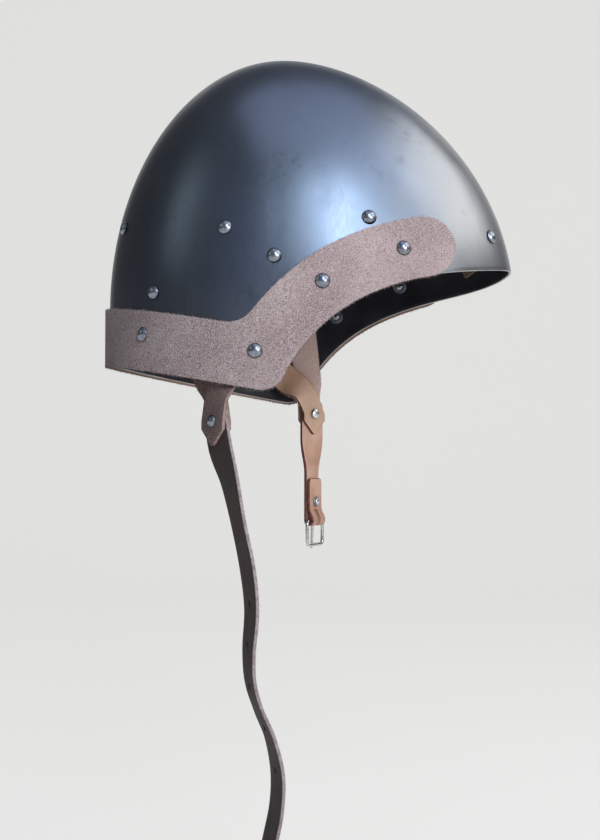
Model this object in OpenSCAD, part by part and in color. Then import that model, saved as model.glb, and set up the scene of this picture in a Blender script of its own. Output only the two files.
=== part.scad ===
// Early bascinet: a raised steel skull with a leather band riveted round its cheeks and nape,
// crossed liner straps, and a Y-shaped chin harness that closes with a wire buckle.
// +X points out of the brow, +Y to the wearer's left and +Z up, in millimetres.
// The origin is where the wearer's crown meets the crossed straps.

/* [Skull] */
// Distance from the crown's axis to the brow
front_r = 156; // [148:1:164]
// Distance from the crown's axis to the nape
rear_r = 116; // [110:1:122]
// Half of the skull's greatest width
side_r = 103; // [98:1:108]
// Height of the crown above the level where the walls stand upright
dome_h = 170; // [162:1:178]
// Thickness of the steel
steel_t = 1.6; // [1.2:0.1:2.2]
// Depth of the brow's edge below the crown
brow_drop = 145; // [140:1:150]
// Depth of the face opening's edge at the temple
temple_drop = 158; // [154:1:162]
// Distance from the crown's axis to the temple, where the edge turns down
temple_x = 88; // [82:1:94]
// Distance from the crown's axis to the cheek's corner
cheek_x = 11; // [6:1:16]
// Depth of the cheek's corner below the crown
cheek_drop = 228.5; // [226:0.5:234]
// Depth of the nape's edge below the crown
nape_drop = 207; // [203:1:211]

/* [Leather band] */
// Width of the band
band_w = 37; // [34:1:40]
// Thickness of the band
band_t = 3; // [2:0.1:4]
// How far the band stands below the steel's edge
band_overhang = 1; // [0.5:0.1:2]

/* [Liner] */
// Width of a liner strap
liner_w = 22; // [18:1:25]
// Thickness of a liner strap
liner_t = 1.6; // [1.2:0.1:2.2]
// Height of the air space between the steel and the straps' crossing
crown_gap = 20; // [16:1:26]

/* [Chin harness] */
// Width of the harness straps
strap_w = 20; // [17:1:22]
// Thickness of the harness straps
strap_t = 2.2; // [1.8:0.1:2.8]
// Forward place of the right joint rivet
right_joint_x = -34; // [-38:1:-30]
// Depth of the right joint rivet below the crown
right_joint_drop = 247; // [244:1:252]
// Forward place of the left joint rivet
left_joint_x = 13; // [9:1:16]
// Depth of the left joint rivet below the crown
left_joint_drop = 236; // [234:1:240]
// Length of the chin strap below its joint rivet
chin_l = 290; // [270:5:310]
// Diameter of the chin strap's tongue holes
hole_d = 3.5; // [3:0.1:4]
// Number of tongue holes
hole_count = 5; // [3:1:6]
// Distance from the joint rivet to the first tongue hole
hole_start = 110; // [100:1:120]
// Distance from hole to hole
hole_pitch = 25; // [20:1:30]

/* [Buckle] */
// Distance from the left joint rivet to the buckle's bar
buckle_l = 79; // [74:1:84]
// Diameter of the buckle's wire
wire_d = 2.6; // [2.2:0.1:3]
// Length of the buckle's window below the bar
window_l = 15.4; // [13:0.1:18]
// Diameter of the tongue
tongue_d = 2.2; // [1.8:0.1:2.4]

/* [Rivets] */
// Diameter of the domed rivet heads
head_d = 9.3; // [8:0.1:10.5]
// Height of the domed rivet heads
head_h = 2.8; // [2:0.1:3.6]
// Diameter of the rivets' shanks
shank_d = 3.6; // [3:0.1:4.2]
// Diameter of the roves
rove_d = 10.4; // [9:0.1:11.5]
// Diameter of the joint rivets' heads
joint_head_d = 7.5; // [7:0.1:9]

/* [Hidden] */

// Roundness of the dome: 2 is an ellipse and less is more pointed, in height and then in plan
front_m = 1.73;
rear_m = 1.96;
side_m = 1.72;
front_p = 2.15;
rear_p = 1.9;
around = 72;
rings = 18;

// Clearances: leather on steel, layer on layer, rivet in its hole, head on its seat
band_gap = 0.1;
wall_gap = 1.1;
layer_gap = 0.3;
hole_gap = 0.08;
seat_gap = 0.15;
rove_t = 1;
rove_gap = 0.35;
liner_rove_gap = 0.65;
tail_d = 5.4;
tail_h = 1.4;
joint_tail_d = 6.8;
joint_head_h = 2.4;
low_head_h = 1.4;
tip_l = 13;
strap_corner = 2;
margin = 40;
long_hole = 24;
short_hole = 10;

// The liner straps lie on one curved surface, each a layer above the last
liner_pitch = liner_t + layer_gap;
liner_m = 3.2;
liner_straps = 4;
crossing = [10, 0];
crown_z = steel_t + crown_gap + (liner_straps - 1) * liner_pitch + liner_t;

// Places of the rivets on the right and left walls: distance forward of the crown's axis, depth.
// Each keeps its distance from the nearest edge or end of the skull
band_places = [
  [temple_x - 7, temple_drop - 16], [cheek_x + 22, temple_drop + 5],
  [cheek_x - 18, cheek_drop - 23.5], [37 - rear_r, nape_drop - 15]
];
liner_places = [[front_r - 18, brow_drop - 17.5], [61, 122.5], [-27, 128.5], [16 - rear_r, 119]];
leg_places = [[4, 147], [42 - rear_r, 166]];

// Layers at each joint rivet: the front leg outside, the strap, and the rear leg inside
strap_pitch = strap_t + layer_gap;
right_turn = 25;
left_turn = 45;
buckle_turn = 24;

// Route of the hanging chin strap, chosen by hand: depth below its rivet, forward drift, turn
chin_route = [
  [-9, 0, 0], [0, 0, 0], [18, 3.5, 0], [37, 9, 12], [62, 14.5, 19], [88, 20, 18], [112, 22.5, 20],
  [136, 21, 23], [154, 22, 26], [170, 27, 29], [186, 34, 27], [206, 38.5, 22], [226, 38, 22],
  [246, 34, 22], [268, 29, 22]
];
chin_steps = 3;

right = -1;
left = 1;

function level(drop) = crown_z - drop;
function mix(a, b, f) = a + (b - a) * f;
function smooth(f) = let (g = max(0, min(1, f))) g * g * (3 - 2 * g);
function unit(v) = v / norm(v);
function turned(v, a) = [v.x * cos(a) - v.y * sin(a), v.x * sin(a) + v.y * cos(a), v.z];
function curve(a, b, c, d, f) =
  a * pow(1 - f, 3) + b * 3 * f * pow(1 - f, 2) + c * 3 * f * f * (1 - f) + d * pow(f, 3);

// The dome: how far it has risen at a height, its section there, and a side wall's place and slope
function rise(z, grow) = max(0, min(1, (z - level(dome_h)) / (dome_h + grow)));
function shrink(z, grow, m) = pow(1 - pow(rise(z, grow), 2), 1 / m);
function reach(x, z, grow) =
  x >= 0 ? (front_r + grow) * shrink(z, grow, front_m) : (rear_r + grow) * shrink(z, grow, rear_m);
function roundness(x) = x >= 0 ? front_p : rear_p;
function wall_y(x, z, grow) =
  let (p = roundness(x), q = min(1, abs(x) / reach(x, z, grow)))
  (side_r + grow) * shrink(z, grow, side_m) * pow(1 - pow(q, p), 1 / p);
function wall_slope(x, z, dx, dz) = wall_y(x + dx, z + dz, 0) - wall_y(x - dx, z - dz, 0);
function on_wall(place, side, grow) =
  [place[0], side * wall_y(place[0], level(place[1]), grow), level(place[1])];
function off_wall(place, side) =
  let (z = level(place[1]))
  unit([-wall_slope(place[0], z, 0.5, 0), side, -wall_slope(place[0], z, 0, 0.5)]);

function ring_height(i, grow) = level(dome_h) + (dome_h + grow) * sin(90 * i / rings);
function ring_point(a, z, grow) =
  let (p = cos(a) >= 0 ? front_p : rear_p,
       x = sign(cos(a)) * pow(abs(cos(a)), 2 / p),
       y = sign(sin(a)) * pow(abs(sin(a)), 2 / p))
  [x * reach(x, z, grow), y * (side_r + grow) * shrink(z, grow, side_m), z];

// A closed dome from below the cheeks to the crown
module dome(grow) {
  floor_z = level(cheek_drop + margin);
  heights = concat([floor_z], [for (i = [0:rings - 1]) ring_height(i, grow)]);
  count = len(heights);
  points = concat(
    [for (z = heights) for (k = [0:around - 1]) ring_point(360 * k / around, z, grow)],
    [[0, 0, level(0) + grow], [0, 0, floor_z]]
  );
  faces = concat(
    [for (i = [0:count - 2]) for (k = [0:around - 1]) let (n = (k + 1) % around)
      [i * around + k, (i + 1) * around + k, (i + 1) * around + n]],
    [for (i = [0:count - 2]) for (k = [0:around - 1]) let (n = (k + 1) % around)
      [i * around + k, (i + 1) * around + n, i * around + n]],
    [for (k = [0:around - 1]) [(count - 1) * around + k, count * around,
      (count - 1) * around + (k + 1) % around]],
    [for (k = [0:around - 1]) [(k + 1) % around, count * around + 1, k]]
  );
  polyhedron(points, faces);
}

// The edge seen from the side: the face opening's sweep, the cheek's corner and the nape
cheek_round = 13;
cheek_back = 16;
cheek_lean = 4;
face_sweep = 37.5;
temple_lift = 10.5;
brow_lift = 8;
function face_edge(f) = curve(
  [front_r, brow_drop], [temple_x + face_sweep, temple_drop],
  [temple_x - face_sweep, temple_drop - temple_lift], [cheek_x, cheek_drop - cheek_round], f);
function cheek_edge(f) =
  let (a = face_edge(1),
       b = [cheek_x - cheek_lean, cheek_drop],
       c = [cheek_x - cheek_back, cheek_drop - 1])
  a * pow(1 - f, 2) + b * 2 * f * (1 - f) + c * f * f;
edge = concat(
  [[front_r + margin, brow_drop - brow_lift]],
  [for (i = [0:16]) face_edge(i / 16)],
  [for (i = [1:5]) cheek_edge(i / 5)],
  [[-rear_r, nape_drop], [-rear_r - margin, nape_drop]]
);

module above_edge() {
  polygon([for (p = concat(edge, [[-rear_r - margin, -margin], [front_r + margin, -margin]]))
    [p[0], level(p[1])]]);
}

module through(far = 2 * side_r + 2 * margin) {
  rotate([90, 0, 0]) linear_extrude(height = far, center = true) children();
}

module seat(p, n) {
  translate(p) rotate([0, acos(n.z), atan2(n.y, n.x)]) children();
}

function beside_wall(place, side, grow) = on_wall(place, side, 0) + off_wall(place, side) * grow;
module on_both_walls(places, grow) {
  for (side = [right, left]) for (place = places) {
    seat(beside_wall(place, side, grow), off_wall(place, side)) children();
  }
}

module shank_holes(places) {
  for (side = [right, left]) for (place = places) {
    seat(on_wall(place, side, 0), off_wall(place, side)) shank_hole();
  }
}

module shank_hole(l = long_hole) {
  cylinder(h = l, d = shank_d + 2 * hole_gap, center = true, $fn = 24);
}

// A cap of a ball, flat side down
module cap(d, h) {
  ball_r = (d * d / 4 + h * h) / (2 * h);
  intersection() {
    translate([0, 0, h - ball_r]) sphere(r = ball_r, $fn = 48);
    cylinder(h = h, d = d, $fn = 48);
  }
}

// A domed rivet with its peened tail, its head's seat at zero and its grip below
module rivet(d, h, grip, tail = tail_d) {
  cap(d, h);
  translate([0, 0, -grip]) cylinder(h = grip + seat_gap, d = shank_d, $fn = 24);
  translate([0, 0, -grip]) mirror([0, 0, 1]) cap(tail, tail_h);
}

module rove(d = rove_d) {
  difference() {
    cylinder(h = rove_t, d = d, $fn = 48);
    translate([0, 0, -1]) cylinder(h = rove_t + 2, d = shank_d + 2 * hole_gap, $fn = 24);
  }
}

// A strap as a skin over rings of six points, three on each face
module skin(loops) {
  n = len(loops[0]);
  last = (len(loops) - 1) * n;
  polyhedron([for (loop = loops) for (p = loop) p], concat(
    [for (i = [0:len(loops) - 2]) for (k = [0:n - 1]) let (m = (k + 1) % n)
      [i * n + k, (i + 1) * n + k, (i + 1) * n + m]],
    [for (i = [0:len(loops) - 2]) for (k = [0:n - 1]) let (m = (k + 1) % n)
      [i * n + k, (i + 1) * n + m, i * n + m]],
    [for (k = [1:n - 2]) [0, k, k + 1]],
    [for (k = [1:n - 2]) [last, last + k + 1, last + k]]
  ));
}

function strap_loop(a, c, b, n, t) =
  [a + n * t / 2, c + n * t / 2, b + n * t / 2, b - n * t / 2, c - n * t / 2, a - n * t / 2];

// Steel skull
module skull() {
  color("slategray") difference() {
    intersection() {
      dome(0);
      through() above_edge();
    }
    dome(-steel_t);
    shank_holes(concat(band_places, liner_places, leg_places));
  }
}

// Leather band: a strip along the edge with a rounded end at each temple
band_end = 0.433;
band_end_slope = let (d = face_edge(band_end + 0.01) - face_edge(band_end)) atan2(-d[1], -d[0]);

module band_outline() {
  notch_round = 8;
  end = face_edge(band_end);
  intersection() {
    difference() {
      offset(delta = band_overhang) above_edge();
      offset(r = notch_round, $fn = 32) offset(delta = -band_w - notch_round) above_edge();
    }
    translate([end[0], level(end[1])]) rotate(-band_end_slope) {
      translate([0, band_w / 2]) circle(d = band_w, $fn = 48);
      translate([-front_r - rear_r, -side_r]) square([front_r + rear_r, 2 * side_r + band_w]);
    }
  }
}

module leather_band() {
  color("rosybrown") difference() {
    intersection() {
      dome(band_gap + band_t);
      through() band_outline();
    }
    dome(band_gap);
    shank_holes(band_places);
  }
}

band_grip = band_t + band_gap + steel_t + seat_gap + rove_gap + rove_t;

module band_rivets() {
  color("silver") on_both_walls(band_places, band_gap + band_t) {
    translate([0, 0, seat_gap]) rivet(head_d, head_h, band_grip + hole_gap);
  }
}

module band_washers() {
  color("darkgray") on_both_walls(band_places, band_gap + band_t) {
    translate([0, 0, seat_gap - band_grip]) rove();
  }
}

// Liner straps: the place of a rivet on the strap's middle, and the height of the straps' surface
liner_in = -steel_t - wall_gap - liner_t / 2;
function liner_q(x, y, z) =
  let (p = roundness(x), b = (side_r + liner_in) * shrink(z, liner_in, side_m))
  pow(pow(abs(x) / reach(x, z, liner_in), p) + pow(abs(y) / b, p), 1 / p);
function liner_z(x, y, z, top) = mix(top, z, pow(min(liner_q(x, y, z), 1.02), liner_m));
function across_wall(place, side) = unit(cross([0, 0, 1], off_wall(place, side)));

// The pointed end below a rivet lies along the wall
tab_l = 12.5;
tab_flat = 9;
tab_lean = 0.66;
tab_point_w = 1.2;
function tab_point(place, side, f) =
  let (lean = place[0] > temple_x ? tab_lean * tab_l * max(0, f) : 0)
  beside_wall(place + [-lean, tab_l * f], side, liner_in);
function tab_loop(place, side, f, flip) =
  let (c = tab_point(place, side, f),
       width = f > 0.5 ? mix(tab_point_w, liner_w, (1 - f) / 0.5) : liner_w,
       w = across_wall(place, side) * width / 2 * flip)
  strap_loop(pulled_in(c - w, c), c, pulled_in(c + w, c), off_wall(place, side), liner_t);

// A strap's edges follow a share of the way that the curved wall falls away beside its middle
edge_pull = 0.5;
function pulled_in(p, c) =
  let (out = liner_q(p.x, p.y, p.z) / liner_q(c.x, c.y, c.z), part = 1 + (out - 1) * edge_pull)
  out > 1 ? [p.x / part, p.y / part, p.z] : p;

// Over its first and last share a strap turns from its rivets' walls to its own way
turn_share = 0.2;
turn_pull = 3;
look_ahead = 0.5;
function liner_loop(a, b, wa, wb, f, top) =
  let (c = mix(a, b, f),
       along = unit([b.x - a.x, b.y - a.y, 0]),
       near_a = pow(max(0, 1 - f / turn_share), 2),
       near_b = pow(max(0, 1 - (1 - f) / turn_share), 2),
       w = unit(cross(along, [0, 0, 1]) + (wa * near_a + wb * near_b) * turn_pull) * liner_w / 2,
       m = liner_point(c, top),
       n = unit(cross(w, liner_point(c + along * look_ahead, top) - m)))
  strap_loop(liner_point(c - w, top), m, liner_point(c + w, top), n, liner_t);
function liner_point(p, top) = [p.x, p.y, liner_z(p.x, p.y, p.z, top)];

// A strap from a front place on one side to a rear place on the other, on its own layer
module liner_strap(front, rear, side, layer) {
  steps = 26;
  ease = 0.6;
  flat = -tab_flat / tab_l;
  a = tab_point(front, side, flat);
  b = tab_point(rear, -side, flat);
  wa = across_wall(front, side);
  wb = across_wall(rear, -side) * -1;
  top = liner_t / 2 + layer * liner_pitch;
  stops = [for (i = [1:steps - 1]) let (f = i / steps) mix(f, smooth(f), ease)];
  color("tan") difference() {
    skin(concat(
      [for (f = [1, 0.5, 0, flat]) tab_loop(front, side, f, 1)],
      [for (f = stops) liner_loop(a, b, wa, wb, f, top)],
      [for (f = [flat, 0, 0.5, 1]) tab_loop(rear, -side, f, -1)]
    ));
    seat(tab_point(front, side, 0), off_wall(front, side)) shank_hole(short_hole);
    seat(tab_point(rear, -side, 0), off_wall(rear, -side)) shank_hole(short_hole);
    translate([crossing[0], crossing[1], top]) shank_hole(short_hole);
  }
}

module liner_strap_1() { liner_strap(liner_places[0], liner_places[3], right, 0); }
module liner_strap_2() { liner_strap(liner_places[0], liner_places[3], left, 1); }
module liner_strap_3() { liner_strap(liner_places[1], liner_places[2], right, 2); }
module liner_strap_4() { liner_strap(liner_places[1], liner_places[2], left, 3); }

liner_grip = steel_t + wall_gap + liner_t + seat_gap + liner_rove_gap + rove_t;

module liner_rivets() {
  color("silver") on_both_walls(liner_places, 0) {
    translate([0, 0, seat_gap]) rivet(head_d, head_h, liner_grip + hole_gap);
  }
}

module liner_washers() {
  color("darkgray") on_both_walls(liner_places, 0) {
    translate([0, 0, seat_gap - liner_grip]) rove();
  }
}

crown_grip = (liner_straps - 1) * liner_pitch + liner_t + rove_t + 2 * seat_gap;

module crown_rivet() {
  color("silver") translate([crossing[0], crossing[1], -seat_gap]) mirror([0, 0, 1]) {
    rivet(head_d, low_head_h, crown_grip + hole_gap);
  }
}

module crown_washer() {
  color("darkgray") translate([crossing[0], crossing[1], crown_grip - rove_t - seat_gap]) rove();
}

// Harness legs: they lie on the wall from their rivets to the edge and then hang
leg_in = -steel_t - wall_gap - strap_t / 2;
leg_tab = 12;
leg_bend = 26;
leg_twist = 15;
leg_sweep = 0.8;
leg_fall = 0.61;
leg_slant = 0.15;
leg_look = 0.02;
leg_point = 15;
leg_point_w = 2;
leave_up = 7.5;
function joint_out(joint, side, turn) =
  let (n = off_wall([joint[0], cheek_drop], side))
  unit(turned([n.x, n.y, 0], side * turn));
function joint_at(joint, side, turn) =
  on_wall(joint, side, leg_in) - joint_out(joint, side, turn) * strap_pitch;
function leave_drop(joint) = min(joint[1] - leg_bend, cheek_drop - leave_up);
function leg_place(place, joint, f) =
  f < 0 ? place + unit(place - joint) * -f
        : curve(place, [mix(place[0], joint[0], leg_sweep), mix(place[1], cheek_drop, leg_fall)],
                [mix(joint[0], place[0], leg_slant), leave_drop(joint)], joint, f);
function leg_hang(spot, joint) = smooth((spot[1] - leave_drop(joint)) / leg_twist);
function leg_middle(place, joint, side, layer, turn, f) =
  let (spot = leg_place(place, joint, f),
       leave = smooth((spot[1] - leave_drop(joint) + leg_bend) / leg_bend),
       flat = joint_out(joint, side, turn),
       drift = turned(flat, -90 * side) * (spot[0] - joint[0]),
       hung = on_wall(joint, side, leg_in) + [drift.x, drift.y, joint[1] - spot[1]],
       laid = beside_wall(spot, side, leg_in))
  mix(laid, hung, leg_hang(spot, joint))
    + leg_out(spot, joint, side, turn) * (layer - 1) * strap_pitch * leave;
function leg_out(spot, joint, side, turn) =
  unit(mix(off_wall(spot, side), joint_out(joint, side, turn), leg_hang(spot, joint)));
function leg_loop(place, joint, side, layer, turn, f, half) =
  let (c = leg_middle(place, joint, side, layer, turn, f),
       d = unit(leg_middle(place, joint, side, layer, turn, min(1, f + leg_look))
         - leg_middle(place, joint, side, layer, turn, min(1 - leg_look, f))),
       n = leg_out(leg_place(place, joint, f), joint, side, turn),
       w = unit(cross(n, d)))
  strap_loop(c + w * half, c, c - w * half, unit(cross(d, w)), strap_t);
function leg_tip_loop(joint, side, layer, turn, down, half) =
  let (n = joint_out(joint, side, turn),
       w = cross(n, [0, 0, -1]),
       c = joint_at(joint, side, turn) + n * layer * strap_pitch - [0, 0, down])
  strap_loop(c + w * half, c, c - w * half, n, strap_t);

module leg(place, joint, side, layer, turn) {
  steps = 16;
  half = strap_w / 2;
  color("rosybrown") difference() {
    skin(concat(
      [leg_loop(place, joint, side, layer, turn, -leg_tab, half - strap_corner)],
      [leg_loop(place, joint, side, layer, turn, -leg_tab + strap_corner, half)],
      [for (i = [0:steps - 1]) leg_loop(place, joint, side, layer, turn, i / steps, half)],
      [leg_tip_loop(joint, side, layer, turn, 0, half)],
      [leg_tip_loop(joint, side, layer, turn, leg_point - half, half)],
      [leg_tip_loop(joint, side, layer, turn, leg_point, leg_point_w / 2)]
    ));
    seat(beside_wall(place, side, leg_in), off_wall(place, side)) shank_hole(short_hole);
    seat(joint_at(joint, side, turn), joint_out(joint, side, turn)) shank_hole();
  }
}

right_joint = [right_joint_x, right_joint_drop];
left_joint = [left_joint_x, left_joint_drop];
module right_front_leg() { leg(leg_places[0], right_joint, right, 1, right_turn); }
module right_rear_leg() { leg(leg_places[1], right_joint, right, -1, right_turn); }
module left_front_leg() { leg(leg_places[0], left_joint, left, 1, left_turn); }
module left_rear_leg() { leg(leg_places[1], left_joint, left, -1, left_turn); }

harness_grip = steel_t + wall_gap + strap_t + seat_gap + rove_gap + rove_t;

module harness_rivets() {
  color("silver") on_both_walls(leg_places, 0) {
    translate([0, 0, seat_gap]) rivet(head_d, head_h, harness_grip + hole_gap);
  }
}

module harness_washers() {
  color("darkgray") on_both_walls(leg_places, 0) {
    translate([0, 0, seat_gap - harness_grip]) rove();
  }
}

// Joint rivets: head outside, through two legs and a strap, rove inside
joint_seat = strap_pitch + strap_t / 2 + seat_gap;
joint_grip = 2 * joint_seat + rove_t;

module joint_rivet(joint, side, turn) {
  color("silver") seat(joint_at(joint, side, turn), joint_out(joint, side, turn)) {
    translate([0, 0, joint_seat]) {
      rivet(joint_head_d, joint_head_h, joint_grip + hole_gap, joint_tail_d);
    }
  }
}

module joint_washer(joint, side, turn) {
  color("darkgray") seat(joint_at(joint, side, turn), joint_out(joint, side, turn)) {
    translate([0, 0, -joint_seat - rove_t]) rove(joint_head_d);
  }
}

module right_joint_rivet() { joint_rivet(right_joint, right, right_turn); }
module right_joint_washer() { joint_washer(right_joint, right, right_turn); }
module left_joint_rivet() { joint_rivet(left_joint, left, left_turn); }
module left_joint_washer() { joint_washer(left_joint, left, left_turn); }

// Chin strap: a smooth line through its route, with a point at its end
function stop(i) = chin_route[max(0, min(len(chin_route) - 1, i))];
function between(i, f) =
  let (a = stop(i - 1), b = stop(i), c = stop(i + 1), d = stop(i + 2))
  (b * 2 + (c - a) * f + (a * 2 - b * 5 + c * 4 - d) * f * f + (b * 3 - a - c * 3 + d) * pow(f, 3))
  / 2;
function chin_scale() = (chin_l - tip_l) / stop(len(chin_route) - 1)[0];
function chin_depth(r) = r[0] > stop(3)[0] ? stop(3)[0] + (r[0] - stop(3)[0]) * chin_scale() : r[0];
chin_lean = 3.5;
function chin_point(r) =
  let (way = turned(joint_out(right_joint, right, right_turn), 90))
  joint_at(right_joint, right, right_turn)
    + [r[1], way.y / way.x * min(r[1], chin_lean), -chin_depth(r)];
function chin_out(r) = joint_out(right_joint, right, right_turn + r[2]);
function chin_loop(r, ahead, half) =
  let (c = chin_point(r), d = unit(chin_point(ahead) - c),
       w = unit(cross(chin_out(r), d)))
  strap_loop(c + w * half, c, c - w * half, unit(cross(d, w)), strap_t);
chin_seek_step = 0.01;
function chin_seek(depth, i = 0, f = 0) =
  chin_depth(between(i, f)) >= depth || i > len(chin_route) - 2 ? between(i, f)
  : f >= 1 ? chin_seek(depth, i + 1, chin_seek_step)
  : chin_seek(depth, i, f + chin_seek_step);

module chin_strap() {
  half = strap_w / 2;
  top_corner = 3;
  tip_half = 2;
  tip_drift = 2;
  look = 0.1;
  last = len(chin_route) - 2;
  bottom = stop(last + 1);
  past = bottom + [tip_l / chin_scale(), -tip_drift, 0];
  color("dimgray") difference() {
    skin(concat(
      [chin_loop(stop(0), stop(1), half - top_corner)],
      [chin_loop(mix(stop(0), stop(1), 0.3), stop(1), half)],
      [for (i = [1:last]) for (k = [0:chin_steps - 1])
        let (f = k / chin_steps) chin_loop(between(i, f), between(i, f + look), half)],
      [chin_loop(bottom, past, half)],
      [chin_loop(past, past + (past - bottom), tip_half)]
    ));
    seat(joint_at(right_joint, right, right_turn), joint_out(right_joint, right, right_turn)) {
      shank_hole(short_hole);
    }
    for (k = [0:hole_count - 1]) {
      r = chin_seek(hole_start + k * hole_pitch);
      seat(chin_point(r), chin_out(r)) cylinder(h = short_hole, d = hole_d, center = true, $fn = 24);
    }
  }
}

// Buckle strap: down from its rivet, under the buckle's bar and back up its inner face
wire_r = wire_d / 2;
fold_gap = 0.5;
fold_r = wire_r + fold_gap + strap_t / 2;
fold_back = 31;
fold_rivet = 14;
fold_corner = 3;
fold_ease = 9.5;
lap_l = 9;
slot_up = 8;
slot_reach = 10;
tongue_gap = 1;
eye_t = 1.1;
eye_w = 3;

// The strap's lower part turns further outwards, over a length that starts below the joint
turn_start = 18;
turn_l = 26;
turn_steps = 5;
plain_steps = 4;
function buckle_out(f) = joint_out(left_joint, left, left_turn + buckle_turn * smooth(f));
function strap_out(depth) = buckle_out((depth - turn_start) / turn_l);
function fold_point(depth, in) =
  joint_at(left_joint, left, left_turn) - [0, 0, depth] - strap_out(depth) * in;
function buckle_way(p, ahead) =
  let (a = fold_point(p[0], p[1]), b = fold_point(ahead[0], ahead[1])) unit(b - a);
function buckle_loop(p, ahead, half) =
  let (c = fold_point(p[0], p[1]),
       w = cross(strap_out(p[0]), [0, 0, -1]),
       d = buckle_way(p, ahead))
  strap_loop(c + w * half, c, c - w * half, unit(cross(d, w)), strap_t);

// Depth below the joint and distance inwards, from the top lap round the bar to the fold's end
turned_at = turn_start + turn_l;
strap_line = concat(
  [[-lap_l, 0], [-lap_l + fold_corner, 0], [0, 0], [turn_start / 2, 0], [turn_start, 0]],
  [for (i = [1:turn_steps]) [turn_start + turn_l * i / turn_steps, 0]],
  [for (i = [1:plain_steps - 1]) [mix(turned_at, buckle_l, i / plain_steps), 0]],
  [for (a = [0:22.5:180]) [buckle_l + fold_r * sin(a), fold_r - fold_r * cos(a)]],
  [for (f = [0.35, 0.7, 1])
    [buckle_l - fold_ease * f, mix(2 * fold_r, strap_pitch, smooth(f))]],
  [for (depth = [fold_rivet + slot_up, fold_back - fold_corner, fold_back])
    [buckle_l - depth, strap_pitch]]
);

module buckle_strap() {
  n = len(strap_line);
  slot_w = eye_w + 2 * tongue_gap;
  color("sandybrown") difference() {
    skin([for (i = [0:n - 1])
      let (from = i < n - 1 ? i : n - 2,
           shift = i < n - 1 ? [0, 0] : strap_line[n - 1] - strap_line[n - 2],
           half = i == 0 || i == n - 1 ? strap_w / 2 - fold_corner : strap_w / 2)
      buckle_loop(strap_line[i], strap_line[from + 1] + shift, half)]);
    seat(joint_at(left_joint, left, left_turn), joint_out(left_joint, left, left_turn)) {
      shank_hole(short_hole);
    }
    at_bar(-fold_rivet) seat([0, 0, 0], [1, 0, 0]) shank_hole();
    at_bar(0) translate([-slot_reach, -slot_w / 2, -slot_reach]) {
      cube([2 * slot_reach, slot_w, slot_up + slot_reach]);
    }
  }
}

// The bar's own frame: X out of the strap's outer face, Y along the bar, Z up
module at_bar(up) {
  out = buckle_out(1);
  translate(joint_at(left_joint, left, left_turn) - [0, 0, buckle_l + up] - out * fold_r)
    rotate(atan2(out.y, out.x)) children();
}

fold_grip = strap_pitch + strap_t + 2 * seat_gap + rove_t;

module buckle_strap_rivet() {
  color("silver") at_bar(-fold_rivet) {
    translate([fold_r + strap_t / 2 + seat_gap, 0, 0]) seat([0, 0, 0], [1, 0, 0]) {
      rivet(joint_head_d, low_head_h, fold_grip + hole_gap);
    }
  }
}

module buckle_strap_washer() {
  color("darkgray") at_bar(-fold_rivet) {
    translate([fold_r + strap_t / 2 + seat_gap - fold_grip, 0, 0]) seat([0, 0, 0], [1, 0, 0]) {
      rove(joint_head_d);
    }
  }
}

// Buckle frame: one round wire bent to a rectangle, with its bar in the strap's fold
frame_gap = 1.2;
frame_half = strap_w / 2 + frame_gap + wire_r;
frame_l = window_l + wire_d;
bend_r = 3;

module wire(l) {
  cylinder(h = l, d = wire_d, $fn = 24);
}

module buckle_frame() {
  color("gainsboro") at_bar(0) {
    for (s = [-1, 1]) {
      translate([0, s * frame_half, -frame_l + bend_r]) wire(frame_l - 2 * bend_r);
      translate([0, s * (frame_half - bend_r), -bend_r]) bend(s, 1);
      translate([0, s * (frame_half - bend_r), -frame_l + bend_r]) bend(s, -1);
    }
    for (z = [0, -frame_l]) {
      translate([0, -frame_half + bend_r, z]) rotate([-90, 0, 0]) wire(2 * (frame_half - bend_r));
    }
  }
}

// A quarter bend in the frame's plane
module bend(s, up) {
  scale_y = s > 0 ? 0 : 1;
  scale_z = up > 0 ? 0 : 1;
  mirror([0, scale_y, 0]) mirror([0, 0, scale_z]) rotate([90, 0, 90]) {
    rotate_extrude(angle = 90, $fn = 48) translate([bend_r, 0]) circle(d = wire_d, $fn = 24);
  }
}

// Buckle tongue: an eye round the bar and an arm that rests on the frame's far side
module buckle_tongue() {
  tongue_r = tongue_d / 2;
  eye_in = wire_r + hole_gap;
  near_x = eye_in + eye_t / 2;
  far_x = wire_r + tongue_r + seat_gap;
  arm_l = frame_l + wire_r + 1;
  lean = atan2(far_x - near_x, frame_l);
  color("gainsboro") at_bar(0) difference() {
    union() {
      rotate([90, 0, 0]) cylinder(h = eye_w, r = eye_in + eye_t, center = true, $fn = 36);
      translate([near_x, 0, 0]) rotate([0, 180 - lean, 0]) {
        cylinder(h = arm_l, r = tongue_r, $fn = 24);
        translate([0, 0, arm_l]) sphere(r = tongue_r, $fn = 24);
      }
    }
    rotate([90, 0, 0]) cylinder(h = eye_w + 2, r = eye_in, center = true, $fn = 36);
  }
}

skull();
leather_band();
band_rivets();
band_washers();
liner_rivets();
liner_washers();
liner_strap_1();
liner_strap_2();
liner_strap_3();
liner_strap_4();
crown_rivet();
crown_washer();
harness_rivets();
harness_washers();
right_front_leg();
right_rear_leg();
right_joint_rivet();
right_joint_washer();
chin_strap();
left_front_leg();
left_rear_leg();
left_joint_rivet();
left_joint_washer();
buckle_strap();
buckle_strap_rivet();
buckle_strap_washer();
buckle_frame();
buckle_tongue();
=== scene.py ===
import random
from math import asin, atan2, cos, degrees, pi, radians, sin, sqrt
import bmesh
import bpy
from mathutils import Matrix, Vector


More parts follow.
